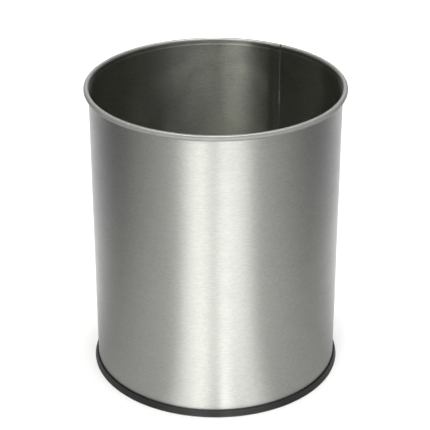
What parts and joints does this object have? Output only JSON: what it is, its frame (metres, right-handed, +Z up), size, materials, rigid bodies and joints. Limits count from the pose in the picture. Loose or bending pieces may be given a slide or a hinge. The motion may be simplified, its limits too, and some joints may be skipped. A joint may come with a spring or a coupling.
{
  "type": "wastebasket",
  "caption": "Open-top cylindrical office wastebasket of brushed stainless steel, with an outward-curled rim, a welded lap seam inside and a black plastic base ring.",
  "frame": {"origin": "on the floor at the middle of the bin, on its vertical axis", "axes": "+Z up along the bin's axis; -Y is the front, so the seam is at the back, to the right of the middle"},
  "size_m": [0.2592, 0.2592, 0.307],
  "materials": {
    "wall_steel": "stainless steel, fine brushed grain running round the bin",
    "weld_metal": "weld bead, satin, with faint heat tint",
    "pan_steel": "pressed stainless steel, satin",
    "ring_plastic": "black moulded plastic, low sheen"
  },
  "bodies": {
    "root": {"body_wall": "wall_steel", "seam_weld": "weld_metal", "bottom_pan": "pan_steel", "base_ring": "ring_plastic"}
  },
  "joints": []
}
